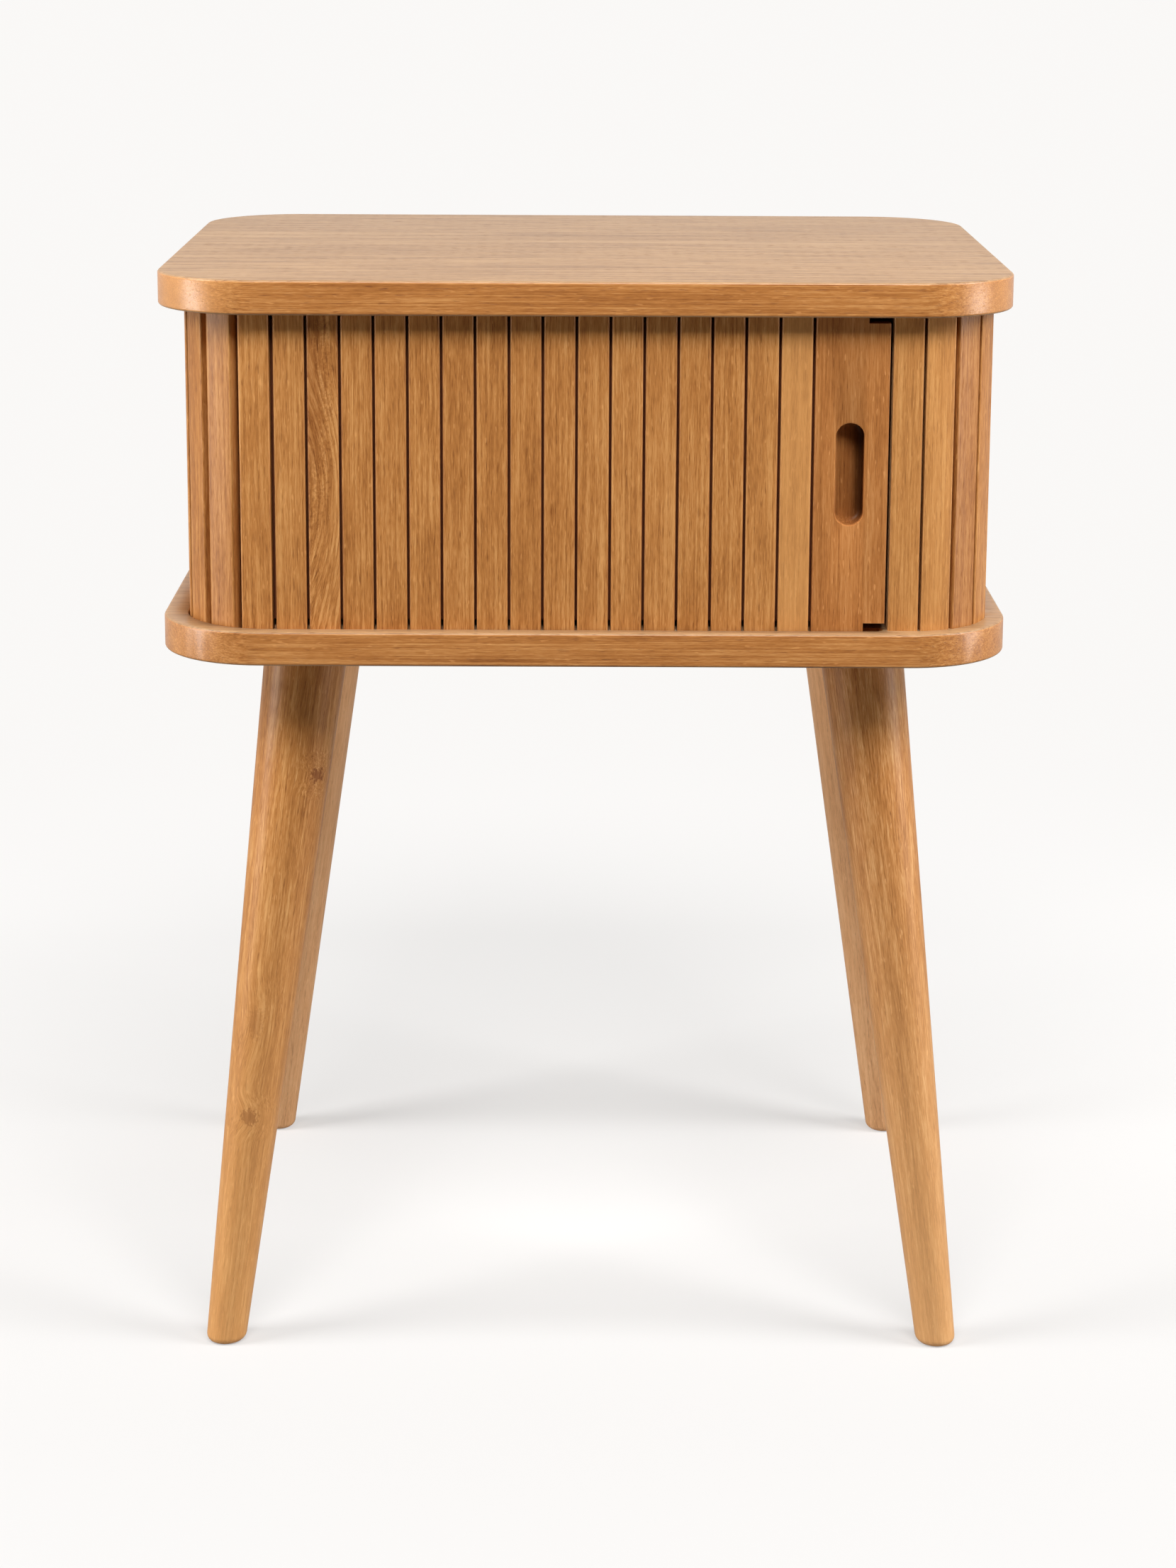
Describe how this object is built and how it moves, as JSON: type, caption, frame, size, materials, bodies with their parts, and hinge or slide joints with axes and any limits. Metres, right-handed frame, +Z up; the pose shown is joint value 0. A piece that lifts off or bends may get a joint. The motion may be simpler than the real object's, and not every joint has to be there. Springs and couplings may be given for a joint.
{
  "type": "bedside table",
  "caption": "Oak bedside table with a sliding slatted tambour door between two rounded boards, on splayed tapered round legs.",
  "frame": {"origin": "on the floor, midway between the feet, under the middle of the boards", "axes": "+Z up, the tambour door faces -Y, +X to the right as seen from the front"},
  "size_m": [0.45, 0.35, 0.585],
  "materials": {
    "top_oak": "satin lacquered oak, pale, long grain across the width",
    "board_oak": "satin lacquered oak, honey",
    "panel_oak": "satin lacquered oak veneer",
    "lining_oak": "satin lacquered oak veneer",
    "post_oak": "satin lacquered oak",
    "lead_oak": "satin lacquered oak, slightly redder",
    "slat_oak": "satin lacquered oak, upright grain",
    "canvas": "dark woven canvas glued to the slats",
    "leg_oak": "satin lacquered oak, grain along the leg",
    "steel": "zinc plated",
    "brass": "plain",
    "beech": "raw"
  },
  "bodies": {
    "carcase": {"top_board": "top_oak", "bottom_board": "board_oak", "outer_back_panel": "panel_oak", "liner_left": "lining_oak", "liner_back": "lining_oak", "liner_right": "lining_oak", "liner_corner_front": "lining_oak", "liner_corner_back": "lining_oak", "post_front_right": "post_oak", "post_back_right": "post_oak", "front_slat_1": "slat_oak", "front_slat_2": "slat_oak", "front_slat_3": "slat_oak", "front_slat_4": "slat_oak", "front_slat_5": "slat_oak", "front_slat_6": "slat_oak", "front_slat_7": "slat_oak", "front_slat_8": "slat_oak", "front_slat_9": "slat_oak", "front_slat_10": "slat_oak", "front_slat_11": "slat_oak", "front_slat_12": "slat_oak", "front_slat_13": "slat_oak", "front_slat_14": "slat_oak", "front_slat_15": "slat_oak", "front_slat_16": "slat_oak", "front_canvas": "canvas", "corner_slats": "slat_oak", "side_slats": "slat_oak", "tail_slats": "slat_oak", "band_canvas": "canvas", "fixed_corner_slats": "slat_oak", "fixed_side_slats": "slat_oak", "fixed_back_slats": "slat_oak", "leg_front_left": "leg_oak", "leg_front_right": "leg_oak", "leg_back_left": "leg_oak", "leg_back_right": "leg_oak", "hanger_bolts": "steel", "insert_nuts": "brass", "dowels": "beech"},
    "door_lead": {"lead_slat": "lead_oak", "lead_edge_strip": "lead_oak"}
  },
  "joints": [
    {"name": "door_slide", "type": "slide", "parent": "carcase", "child": "door_lead", "axis": [-1, 0, 0], "range_m": [0, 0.28], "deforming": ["front_slat_1", "front_slat_2", "front_slat_3", "front_slat_4", "front_slat_5", "front_slat_6", "front_slat_7", "front_slat_8", "front_slat_9", "front_slat_10", "front_slat_11", "front_slat_12", "front_slat_13", "front_slat_14", "front_slat_15", "front_slat_16", "front_canvas"]}
  ]
}
